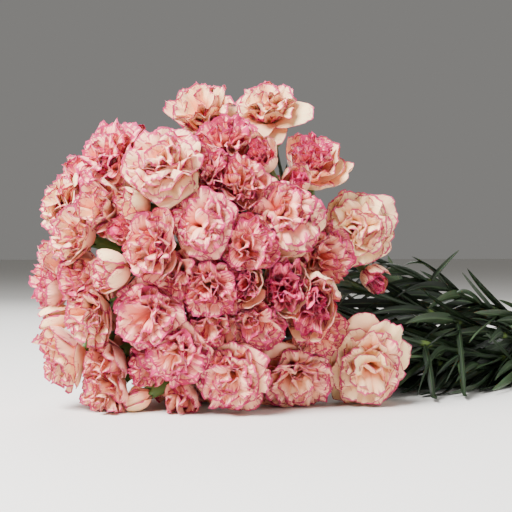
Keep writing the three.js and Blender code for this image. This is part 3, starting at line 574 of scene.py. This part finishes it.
class Petals:
    """The petals of one bloom, as grids [petal, row, column].

    Petal k is turned by k times 137.5 degrees about the bloom's axis, and its midrib is a cubic curve in the
    half plane through that axis. The blade widens along it like a fan with round corners and a toothed
    margin, wraps round the axis, and stands off it by two sine waves across it that grow with a power (2
    inside, 3.4 outside) of the way to the margin. Last, every point is held inside the bloom's walls.

    order runs from 0, outermost, to 1. guard marks the outermost tenth to fifth, and loose those that hang
    out on one side."""

    def __init__(self, bloom, count, columns):
        self.bloom, self.count, self.columns = bloom, count, columns
        self.rng = np.random.default_rng(bloom["number"])
        self.side, self.top = axes_of(bloom)
        self.order = ((np.arange(count) + 0.5) / count)[EACH]
        turn = math.radians(PETALS["step"]) * np.arange(count) + self.rng.uniform(0, 2 * HALF_TURN)
        self.turn = turn[EACH] + self.normal(0.12)
        self.rows = np.array(PETAL_ROWS)[None, :, None]
        self.across = np.linspace(-1, 1, columns)[None, None, :]
        self.cupped = 1 - smooth((bloom["spread"] - 0.78) / 0.2)
        self.furled = 1 - smooth((bloom["spread"] - 0.2) / 0.35)
        self.guard = 1 - smooth((self.order - mix(0.1, 0.2, self.cupped)) / 0.3)
        self.loose = self.guard * smooth(self.points_to(as_seen(*bloom["loose"])))

    def normal(self, width):
        return self.rng.normal(0, width, self.count)[EACH]

    def uniform(self, low, high):
        return self.rng.uniform(low, high, self.count)[EACH]

    def points_to(self, direction):
        """How far each petal's side of the bloom points in a direction."""
        return np.cos(self.turn) * (direction @ self.side) + np.sin(self.turn) * (direction @ self.top)

    def midribs(self):
        """Control points of each midrib, as distances from the bloom's axis and along it. It leaves the calyx
        outward and ends on the bloom's ball at an angle theta from the axis, whose cosine runs evenly from
        the outermost petals, wider the more open the bloom is, to the innermost (6 degrees). It arrives
        turned outward by flare. A bloom taller than round has its longer petals above and below."""
        bloom, order, guard, cupped = self.bloom, self.order, self.guard, self.cupped
        nearly = mix(ENDS["furled"], ENDS["half"], min(bloom["spread"] / 0.85, 1) ** 1.3)
        outermost = math.radians(mix(ENDS["flat"], nearly, cupped))
        theta = np.arccos(mix(math.cos(outermost), math.cos(0.1), order ** 0.9))
        theta = theta + self.normal(1) * mix(0.05, 0.3, order ** 2)
        within = mix(0.05, mix(*INNER_FLARE, cupped), smooth((order - 0.25) / 0.3))
        flare = mix(mix(within, FURLED_FLARE, self.furled), mix(*GUARD_FLARE, cupped), guard)
        flare = flare + self.normal(0.2)
        vary = mix(VARY["inner"], mix(VARY["guard"], VARY["broad"], bloom["broad"]), guard)
        lower = mix(INNER_SIZE, mix(INNER_SIZE, 1, smooth((bloom["spread"] - 0.5) / 0.3)), cupped)
        size = 1 + self.uniform(-1, 1) * vary
        size = size * mix(1, lower, smooth((order - 0.15) / 0.25))
        theta = theta + HANGING["out"] * self.loose
        upright = self.points_to(UP)
        size = size * mix(1, HANGING["size"], self.loose) * (1 + bloom["taller"] * (2 * upright ** 2 - 1))
        size = size * bloom["shorter"]
        start = np.array([bloom["calyx"]["mouth"], 0.0]) * mix(0.8, 0.1, order)[..., None]
        centre = bloom["tall"] * 0.42
        end = np.stack([
            PETALS["reach"] * bloom["radius"] * size * np.sin(theta),
            centre + (PETALS["top"] * bloom["tall"] - centre) * size * np.cos(theta),
        ], axis=-1)
        chord = np.linalg.norm(end - start, axis=-1, keepdims=True)
        leave = mix(mix(0.95, 1.25, cupped), 0.05, order ** 0.7)
        first = start + 0.36 * chord * np.stack([np.sin(leave), np.cos(leave)], axis=-1)
        arrive = theta + flare
        second = end - 0.42 * chord * np.stack([np.sin(arrive), np.cos(arrive)], axis=-1)
        self.long = chord[..., 0] * 1.12
        return start, first, second, end

    def widths(self):
        """Half of each petal's width: less towards the heart, and less so where petals are broad."""
        broad = self.bloom["broad"]
        inner = mix(PETALS["inner"], PETALS["broad"], broad)
        wide = self.bloom["radius"] * mix(PETALS["wide"] * mix(1, 0.82, broad), inner, self.order ** 0.7)
        wide = wide * self.uniform(0.85, 1.15)
        return wide * mix(0.85, 1, self.bloom["spread"]) * mix(1, HANGING["size"], self.loose)

    def surfaces(self, walls):
        """Points of every petal, and their values."""
        rows, across, order, bloom = self.rows, self.across, self.order, self.bloom
        ribs = self.midribs()
        wide = self.widths()
        wave = np.minimum(wide / PETALS["fold"], self.columns / 14) * 2 * self.uniform(0.75, 1.15)
        phase = self.rng.uniform(0, 2 * HALF_TURN, (4, self.count))[:, :, None, None]
        odd = np.arange(self.columns) % 2
        teeth = odd * self.rng.uniform(0.3, 1, (self.count, 1, self.columns))
        scallop = 0.03 * np.sin(0.8 * wave * HALF_TURN * across + phase[3]) * rows ** 3
        corner = mix(0.2, 0.42, bloom["broad"])
        trim = 1 - 0.1 * across ** 2 - corner * across ** 4 + scallop - 0.03 * teeth * (rows == 1)
        way = rows * trim
        t = way[..., None]
        start, first, second, end = ribs
        rib = cubic(ribs, t)
        slope = (first - start) * (1 - t) ** 2 + 2 * (second - first) * t * (1 - t) + (end - second) * t ** 2
        tilt = np.arctan2(slope[..., 0], slope[..., 1])

        half = wide * (0.16 + 0.84 * smooth(rows / 0.75))
        ripple = np.sin(wave * HALF_TURN * across + phase[0])
        ripple = ripple + 0.35 * np.sin(1.7 * wave * HALF_TURN * across + phase[1])
        crumple = mix(mix(0.3, 1.25, smooth((order - 0.06) / 0.34)), 0.45, self.furled)
        crumple = crumple * mix(1, HANGING["ruffle"], self.loose)
        power = mix(3.4, 2, smooth(order / 0.4))
        ripple = ripple * rows ** power * bloom["radius"] * PETALS["ruffle"] * crumple
        sway = self.normal(0.22) * across * half * (1 - 0.7 * self.guard)
        stand = ripple + sway * rows
        reach = rib[..., 0] + stand * np.cos(tilt)
        height = rib[..., 1] - stand * np.sin(tilt)
        wrap = np.maximum(np.abs(reach), half * mix(0.9, 1.6, order))
        swing = across * half / wrap
        radial = reach - wrap * (1 - np.cos(swing))
        tangential = wrap * np.sin(swing) + 0.5 * ripple * np.cos(wave * HALF_TURN * across + phase[2])

        x = radial * np.cos(self.turn) - tangential * np.sin(self.turn)
        y = radial * np.sin(self.turn) + tangential * np.cos(self.turn)
        points = bloom["base"] + x[..., None] * self.side + y[..., None] * self.top
        points = points + height[..., None] * bloom["facing"]
        return hold_inside(points, bloom["heart"], walls), self.values(way, half)

    def values(self, way, half):
        """What each point carries. The shell of a cupped bloom and loose petals are paler."""
        from_side = (1 - np.abs(self.across)) * half + 40 * (self.rows < 0.5)
        margin = np.minimum((1 - self.rows) * self.long + 0 * self.across, from_side)
        # depth is 1 at the petal's base, where the petal paint turns it peach: partly its own colour, partly
        # painted shade
        depth = np.clip(1 - way, 0, 1)
        pink = self.bloom["blush"]
        shell = pink * mix(1, 0.25, smooth((0.7 - self.bloom["spread"]) / 0.1))
        blush = mix(pink, shell, self.guard) * mix(1, HANGING["blush"], self.loose)
        blush = blush + self.normal(0.08) + 0 * way
        lane = self.across + 3 * np.arange(self.count)[EACH] + 0 * way
        return np.stack([way * self.long, lane, margin, depth, blush, 0 * way], -1)


def tube(path, radii, sides):
    """Rings of points about a path, square to its direction, with the radius of each station, that end in a
    single point at both ends."""
    direction = unit(np.gradient(path, axis=0))
    axes = np.eye(3)
    reference = axes[np.argmin(np.abs(direction @ axes.T).max(0))]
    side = unit(np.cross(reference, direction))
    across = np.cross(direction, side)
    around = turned(angles(sides), side[:, None], across[:, None])
    rings = path[:, None] + radii[:, None, None] * around
    return np.concatenate([path[:1, None] + 0 * rings[:1], rings, path[-1:, None] + 0 * rings[-1:]])


def add_main_stem(shape, spray, leaves):
    """The main stem, with a bell-shaped swelling at each node that carries leaves."""
    lower = curve(spray["lower"], np.linspace(0, 1, 9)[:-1])
    t = np.linspace(0, 1, 90)
    nodes = {leaf["share"] for leaf in leaves if leaf.get("swollen", True)}
    swell = np.max([np.exp(-((t - node) / 0.006) ** 2) for node in nodes], axis=0)
    upper_radii = mix(MAIN["cut"], MAIN["top"], t) + MAIN["swell"] * swell
    radii = np.concatenate([np.full(len(lower), MAIN["cut"]), upper_radii])
    rings = tube(np.concatenate([lower, curve(spray["upper"], t)]), radii, 10)
    node_mark = np.concatenate([np.zeros(len(lower) + 1), swell, [0]])
    shape.rings(rings, STEM_FINISH, node_mark[:, None], spray["slot"] * TONE)


def add_stalk(shape, bloom):
    """A stalk that thickens under its calyx."""
    t = np.linspace(0, 1, 14)
    radii = STALK["radius"] + STALK["knob"] * np.exp(-((1 - t) / 0.05) ** 2)
    shape.rings(tube(curve(bloom["stalk"], t), radii, 8), STEM_FINISH)


def add_calyx(shape, bloom):
    """A goblet round the bloom's axis, with four bracts at its foot, and five teeth at its mouth that lie
    against the petals. Its body's rings are at these shares of its height, with these shares of its belly."""
    calyx = bloom["calyx"]
    share = np.array([0, 0.03, 0.08, 0.16, 0.26, 0.4, 0.6, 0.8, 0.95])
    body = calyx["belly"] * np.array([0.34, 0.6, 0.86, 1.0, 0.97, 0.96, 1.0, 1.04, 1.06])
    angle = angles(20)
    bracts = np.exp(-((share[:, None] - 0.17) / 0.07) ** 2) * np.abs(np.cos(2 * angle)) * 0.7
    tooth = np.abs(((5 * angle / (2 * math.pi)) % 1) * 2 - 1)
    tip = calyx["long"] * 0.96 + 5.2 * tooth ** 1.3
    flat = 0 * angle
    reach = np.vstack([
        flat, body[:, None] + bracts, calyx["mouth"] * (1.02 + 0.1 * tooth),
        calyx["mouth"] * (0.94 + 0.08 * tooth), calyx["mouth"] * 0.8 + flat, flat,
    ])
    height = np.vstack([
        flat, share[:, None] * calyx["long"] + flat, tip, tip - 0.4,
        calyx["long"] - 1 + flat, calyx["long"] - 2 + flat,
    ])
    around = turned(angle, *axes_of(bloom))
    rings = bloom["foot"] + reach[..., None] * around + height[..., None] * bloom["facing"]
    shape.rings(rings, CALYX_FINISH, height / calyx["long"], bloom["number"] * TONE)


def leaf_path(rod, leaf, rng):
    """The midrib of a leaf, and the direction of its width. It runs out from the node and up along the stem
    or stalk whose curve is given, curls with the second and third power of the way, and droops to the table
    at most: near it, a hyperbola smooths its height above the lowest place."""
    start = curve(rod, leaf["share"])[0]
    along = curve_direction(rod, leaf["share"])[0]
    core = TIE + SPINE * ((start - TIE) @ SPINE)
    outward = start - core
    outward = unit(outward - (outward @ along) * along)
    turn, away = math.radians(leaf["turn"]), math.radians(leaf["away"])
    outward = outward * math.cos(turn) + np.cross(along, outward) * math.sin(turn)
    forward = math.cos(away) * along + math.sin(away) * outward
    breadth = np.cross(along, outward)
    lowest = LEAF["thick"] + 0.5 * LEAF["wide"] * abs(breadth[2])
    s = np.linspace(0, 1, 14)[:, None]
    path = start + forward * leaf["long"] * s - UP * leaf["droop"] * s ** 2
    path = path + outward * rng.normal(0, BLADE["outward"]) * leaf["long"] * s ** 3
    path = path + breadth * rng.normal(0, BLADE["sideways"]) * leaf["long"] * s ** 2
    above = path[:, 2] - lowest
    path[:, 2] = lowest + 0.5 * (above + np.hypot(above, 3))
    return path, breadth


def add_leaf(shape, path, breadth, leaf, rng):
    """A strap leaf: the blade narrows to a point, is folded along the midrib and twists a little."""
    s = np.linspace(0, 1, len(path))[:, None]
    direction = unit(np.gradient(path, axis=0))
    level = unit(breadth - direction * (direction @ breadth)[:, None])
    upward = np.cross(level, direction)
    twist = rng.normal(0, BLADE["twist"]) * s
    across = level * np.cos(twist) + upward * np.sin(twist)
    normal = upward * np.cos(twist) - level * np.sin(twist)
    wide = leaf.get("wide", LEAF["wide"]) * (0.35 + 0.65 * smooth(s / 0.18)) * (1 - s ** 2.4) ** 0.8
    u = np.linspace(-1, 1, 5)
    grid = path[:, None] + across[:, None] * (u[None, :, None] * wide[:, None] / 2)
    grid = grid - normal[:, None] * (np.abs(u)[None, :, None] * wide[:, None] * BLADE["fold"])
    values = np.zeros(grid.shape[:2] + (VALUES,))
    values[..., ALONG] = s * leaf["long"]
    values[..., ACROSS] = u
    values[..., BLUSH] = rng.uniform()
    shape.sheets(grid[None], BLADE["thick"], values[None], LEAF_FINISH)


def extra_leaves(number):
    """Further leaves of a spray, by a seeded draw: opposite pairs along the stretch between band and head,
    with a swollen node at every fourth."""
    rng = np.random.default_rng(500 + number)
    rows = []
    for k in range(EXTRA["pairs"]):
        share = EXTRA["from"] + EXTRA["stretch"] * (k + rng.uniform(0.2, 0.8)) / EXTRA["pairs"]
        turn = rng.uniform(-70, 70)
        length = mix(1, 0.5, smooth((share - EXTRA["last"]) / 0.1))
        in_the_thick = EXTRA["thick"][0] < share < EXTRA["thick"][1]
        for side in (0, 150, 250)[:3 if in_the_thick else 2]:
            rows.append({
                "share": share, "turn": turn + side, "away": rng.uniform(6, 36),
                "long": length * rng.uniform(55, 95), "droop": length * rng.uniform(0, 40),
                "wide": rng.uniform(6.5, 10), "swollen": k % 4 == 1,
            })
    return rows


def stalk_leaves(bloom):
    """Two small opposite leaves half way up a stalk, by a seeded draw."""
    rng = np.random.default_rng(900 + bloom["number"])
    share, turn = rng.uniform(0.35, 0.65), rng.uniform(0, 180)
    return [
        {"share": share, "turn": turn + side, "away": rng.uniform(10, 35), "long": rng.uniform(22, 34),
         "droop": 0, "wide": rng.uniform(4.5, 6)}
        for side in (0, 180)
    ]


def runs_clear(path, blooms):
    """Whether no point of a path is nearer to a bloom's middle than 0.95 of that bloom's radius."""
    middles = np.array([bloom["middle"] for bloom in blooms])
    reach = 0.95 * np.array([bloom["radius"] for bloom in blooms])
    return np.all(np.linalg.norm(path[:, None] - middles, axis=-1) > reach)


def band_shape():
    """Three turns of a rubber strand side by side round the bundle, each a torus that wavers a little."""
    shape = Shape()
    ring, sides = 64, 10
    angle, section = angles(ring)[:, None], angles(sides)[None, :]
    inner = RING["radius"] * PITCH + MAIN["cut"] + 2 * GAP
    wire = BAND["wire"]
    for k in range(BAND["turns"]):
        waver = BAND["waver"] * np.sin(2 * angle + 2.1 * k)
        reach = inner + wire * BAND["high"] * (1 + np.cos(section)) + 0 * angle
        along = (2 * k + 1 - BAND["turns"]) * wire + wire * BAND["broad"] * np.sin(section) + waver
        around = turned(angle, SIDE, BUNDLE_UP)
        points = TIE + along[..., None] * BUNDLE + reach[..., None] * around
        shape.add(points, ring_quads(ring, sides, closed=1), np.zeros(VALUES))
    return shape


class Amount:
    """One number in a material: Python's operators add the Math nodes that work it out."""

    def __init__(self, paint, socket):
        self.paint, self.socket = paint, socket

    def _math(self, operation, first, second):
        node = self.paint.node("Math", {0: first, 1: second}, operation=operation)
        return Amount(self.paint, node.outputs[0])

    def __add__(self, other):
        return self._math("ADD", self, other)

    def __sub__(self, other):
        return self._math("SUBTRACT", self, other)

    def __rsub__(self, other):
        return self._math("SUBTRACT", other, self)

    def __mul__(self, other):
        return self._math("MULTIPLY", self, other)

    __radd__ = __add__
    __rmul__ = __mul__


class Paint:
    """A material's nodes. node() takes a node's kind, the values or links of its sockets, and its settings. A
    word in a socket is the name of a colour."""

    def __init__(self, name, **constants):
        self.material = bpy.data.materials.new(name)
        self.material.use_nodes = True
        self.tree = self.material.node_tree
        self.shader = self.tree.nodes["Principled BSDF"]
        for word, value in constants.items():
            self.shader.inputs[word.replace("_", " ")].default_value = value

    def node(self, kind, sockets, **settings):
        node = self.tree.nodes.new("ShaderNode" + kind)
        for word, value in settings.items():
            setattr(node, word, value)
        for key, value in sockets.items():
            self.feed(node.inputs[key], value)
        return node

    def feed(self, socket, value):
        if isinstance(value, str):
            value = linear(value)
        if isinstance(value, Amount):
            value = value.socket
        if isinstance(value, bpy.types.NodeSocket):
            self.tree.links.new(value, socket)
        else:
            socket.default_value = value

    def attribute(self, word):
        return Amount(self, self.node("Attribute", {}, attribute_name=word).outputs["Fac"])

    def place(self):
        return self.node("TexCoord", {}).outputs["Object"]

    def point(self, x, y, z):
        return self.node("CombineXYZ", {0: x, 1: y, 2: z}).outputs[0]

    def noise(self, vector, scale=1.0, detail=2.0):
        sockets = {"Vector": vector, "Scale": scale, "Detail": detail}
        return Amount(self, self.node("TexNoise", sockets).outputs[0])

    def rise(self, value, low, high):
        """0 below low, 1 above high, and a smooth step between."""
        sockets = {"Value": value, "From Min": low, "From Max": high}
        return Amount(self, self.node("MapRange", sockets, interpolation_type="SMOOTHSTEP").outputs[0])

    def blend(self, factor, a, b):
        """Colour a where the factor is 0 and b where it is 1: inputs 6 and 7 and output 2 are the colours."""
        return self.node("Mix", {0: factor, 6: a, 7: b}, data_type="RGBA").outputs[2]

    def finish(self, colour, roughness, height, strength, distance):
        """The material, with a bump by a height's strength and distance in metres."""
        sockets = {"Height": height, "Strength": strength, "Distance": distance}
        bump = self.node("Bump", sockets).outputs[0]
        for word, value in (("Base Color", colour), ("Roughness", roughness), ("Normal", bump)):
            self.feed(self.shader.inputs[word], value)
        return self.material


def linear(name):
    """A named colour's sRGB bytes as linear values: ((c + 0.055) / 1.055)^2.4, or c / 12.92 when dark."""
    share = np.array(COLOURS[name]) / 255
    value = np.where(share > 0.04045, ((share + 0.055) / 1.055) ** 2.4, share / 12.92)
    return (*value.tolist(), 1.0)


def petal_paint():
    """Cream petals, peach towards the base, which is partly the petals' own warmer heart and partly painted
    shade of the bloom's inner hollows, and rosier on pink blooms, with a ragged raspberry line along the
    margin, thin streaks that run in from it, and creases where a noise crosses its middle. On the blooms with
    the deepest blush the streaks run on to the base."""
    paint = Paint(
        "petals", Subsurface_Weight=0.25, Subsurface_Radius=(1.0, 0.5, 0.4), Subsurface_Scale=0.0006,
        Sheen_Weight=0.15, Specular_IOR_Level=0.3,
    )
    along, across, margin, depth, blush = (paint.attribute(word) for word in VALUE_NAMES)
    streak = paint.noise(paint.point(across * 11.0, along * 0.05, 0.0), detail=3.0)
    ragged = paint.noise(paint.point(across * 5.0, along * 0.12, 3.0))
    line = 1 - paint.rise(margin - ragged * (1.1 + blush * 1.3), 0.3, 0.7)
    deep = paint.rise(blush, 0.62, 0.85)
    fade = 1 - paint.rise(margin, 0.5, 5.0 + blush * 7.0 + deep * 24.0)
    veins = paint.rise(streak + blush * 0.1 + deep * 0.06, 0.52, 0.64) * fade
    fold = paint.noise(paint.point(across * 2.2, along * 0.09, 7.0), detail=1.0)
    crease = (1 - paint.rise((fold - 0.5) * (fold - 0.5), 0.0, 0.0004)) * (1 - paint.rise(margin, 2.0, 9.0))
    pink = paint.rise(line + veins * (0.7 + blush * 0.4 - deep * 0.42) + crease * 0.45, 0.0, 1.0)
    # Peach towards each petal's base: partly the petals' own warmer heart, partly painted shade of the
    # bloom's inner hollows
    ground = paint.blend(paint.rise(depth, 0.15, 0.75), "cream", "peach")
    ground = paint.blend(blush * 0.9, ground, "rose")
    edge = paint.blend(paint.rise(blush, 0.6, 1.0), "raspberry", "wine")
    grain = paint.noise(paint.point(across * 16.0, along * 0.06, 1.0))
    return paint.finish(paint.blend(pink * 0.96, ground, edge), 0.62 + streak * 0.16, grain, 0.35, 0.0004)


def stem_paint():
    """Waxy grey-green stems, yellower at their swollen nodes."""
    paint = Paint("stems", Specular_IOR_Level=0.4)
    place = paint.place()
    patch = paint.noise(place, 26.0, 3.0)
    ground = paint.blend(paint.rise(patch, 0.35, 0.7), "stem", "leaf")
    ground = paint.blend(paint.rise(paint.attribute("depth"), 0.15, 0.9), ground, "node")
    return paint.finish(ground, 0.42 + patch * 0.25, paint.noise(place, 900.0), 0.2, 0.0003)


def calyx_paint():
    """Fresh green calyces with darker patches and a fine grain, yellower at the foot."""
    paint = Paint("calyces", Specular_IOR_Level=0.4, Subsurface_Weight=0.1, Subsurface_Scale=0.002)
    place = paint.place()
    patch = paint.noise(place, 60.0, 3.0)
    ground = paint.blend(paint.rise(paint.attribute("depth"), 0.0, 0.5), "node", "calyx")
    ground = paint.blend(paint.rise(patch, 0.4, 0.75) * 0.5, ground, "stem")
    return paint.finish(ground, 0.4 + patch * 0.25, paint.noise(place, 1200.0, 1.0), 0.2, 0.0003)


def leaf_paint():
    """Blue-green leaves with a waxy bloom in patches, a paler midrib and fine lengthwise veins."""
    paint = Paint("leaves", Specular_IOR_Level=0.45, Subsurface_Weight=0.06, Subsurface_Scale=0.002)
    along, across, tone = paint.attribute("along"), paint.attribute("across"), paint.attribute("blush")
    patch = paint.noise(paint.place(), 40.0, 3.0)
    veins = paint.noise(paint.point(across * 7.0, along * 0.02, tone * 9.0))
    ground = paint.blend(paint.rise(patch * 0.5 + tone * 0.5, 0.25, 0.65), "leaf_shade", "leaf")
    wax = paint.rise(patch * 0.4 + tone * 0.6, 0.62, 0.95) * 0.6
    rib = (1 - paint.rise(across * across, 0.0, 0.03)) * 0.35
    ground = paint.blend(wax, ground, "bloom_of_wax")
    ground = paint.blend(rib + paint.rise(veins, 0.55, 0.75) * 0.12, ground, "bloom_of_wax")
    return paint.finish(ground, 0.4 + patch * 0.25, veins, 0.3, 0.0004)


def rubber_paint():
    """Tan rubber with a dusty surface."""
    paint = Paint("rubber", Specular_IOR_Level=0.35)
    dust = paint.noise(paint.place(), 300.0, 3.0)
    ground = paint.blend(paint.rise(dust, 0.4, 0.7) * 0.4, "rubber", "floor")
    return paint.finish(ground, 0.5 + dust * 0.25, dust, 0.25, 0.0003)


def floor_paint():
    return Paint("floor", Roughness=0.7, Base_Color=linear("floor")).material


def petal_count(bloom):
    """How many petals, and columns of points across each. On the near side they run from 16 and 15, at a
    radius of 10, to 42 and 19 at one of 34, with fewer petals where they are broad."""
    if bloom["number"] in FAR:
        return 30, 17
    size = smooth((bloom["radius"] - 10) / 24)
    most = mix(42, 24, bloom["broad"])
    return int(mix(16, most, size)), 2 * int(mix(7, 9, size)) + 1


def build_blooms(blooms, sprays, finish):
    lead = {pair[0]: pair for pair in PAIRS}
    second = {pair[1] for pair in PAIRS}
    for bloom in blooms:
        number = bloom["number"]
        if number in second:
            continue
        numbers = lead.get(number, (number,))
        node = "bloom_%02d" % number if len(numbers) == 1 else "blooms_%02d_%02d" % numbers
        shape = Shape()
        for member in (blooms[k - 1] for k in numbers):
            petals = Petals(member, *petal_count(member))
            points, values = petals.surfaces(walls_of(member, blooms, sprays))
            shape.sheets(points, PETALS["thick"], values)
        shape.to_mesh(node + "_petals", [finish], [node], "petals")


def build_sprays(sprays, blooms, finishes):
    for number, spray in enumerate(sprays, start=1):
        own = [dict(zip(LEAF_WORDS, row)) for row in LEAVES.get(number, [])]
        further = extra_leaves(number)
        shape = Shape()
        add_main_stem(shape, spray, own + further)
        carried = [(spray["upper"], leaf) for leaf in own + further]
        for bloom in spray["members"]:
            add_stalk(shape, bloom)
            add_calyx(shape, bloom)
            carried += [(bloom["stalk"], leaf) for leaf in stalk_leaves(bloom)]
        for i, (rod, leaf) in enumerate(carried):
            rng = np.random.default_rng(1000 * number + i)
            path, breadth = leaf_path(rod, leaf, rng)
            if i < len(own) or runs_clear(path, blooms):
                add_leaf(shape, path, breadth, leaf, rng)
        node = "spray_%02d" % number
        shape.to_mesh(node + "_greens", finishes, [node], "greens")


def look(spot, target):
    """The place and turn of a lamp or camera at spot whose -Z axis points at target."""
    turn = Vector(np.asarray(target, float) - spot).to_track_quat("-Z", "Y")
    return Matrix.LocRotScale(Vector(spot), turn, None)


def put_in_scene(name, data):
    holder = bpy.data.objects.new(name, data)
    bpy.context.scene.collection.objects.link(holder)
    return holder


def build_studio():
    """A pale floor, a large soft light from the upper left, a weaker one from the right, another from behind,
    and a pale sky."""
    mesh = bpy.data.meshes.new("floor")
    reach = FLOOR_REACH
    corners = [(-reach, -reach, 0), (reach, -reach, 0), (reach, reach, 0), (-reach, reach, 0)]
    mesh.from_pydata(corners, [], [(0, 1, 2, 3)])
    mesh.materials.append(floor_paint())
    floor = put_in_scene("floor", mesh)
    target = (MIDDLE + MOVED) * MM
    for name, (offset, size, power) in LAMPS.items():
        light = bpy.data.lights.new(name, "AREA")
        light.size = size
        light.energy = power
        put_in_scene(name, light).matrix_world = look(target + as_seen(*offset), target)
    world = bpy.data.worlds.new("sky")
    world.use_nodes = True
    sky = world.node_tree.nodes["Background"].inputs
    sky["Color"].default_value = linear("floor")
    sky["Strength"].default_value = SKY_STRENGTH
    bpy.context.scene.world = world


def build_camera():
    camera = bpy.data.cameras.new("camera")
    camera.sensor_width = SENSOR
    camera.lens = SENSOR * VIEW["focal"] / FRAME_PIXELS
    camera.clip_start = 0.01
    holder = put_in_scene("camera", camera)
    spot = (EYE + MOVED) * MM
    holder.matrix_world = look(spot, spot + AHEAD)
    bpy.context.scene.camera = holder


build_camera()
blooms = place_blooms()
sprays = group_sprays(blooms)
for spray in sprays:
    main_curves(spray)
    for bloom in spray["members"]:
        stalk_curve(bloom, spray["upper"])
build_blooms(blooms, sprays, petal_paint())
build_sprays(sprays, blooms, [stem_paint(), calyx_paint(), leaf_paint()])
band_shape().to_mesh("rubber_band_turns", [rubber_paint()], ["rubber_band"], "rubber")
build_studio()
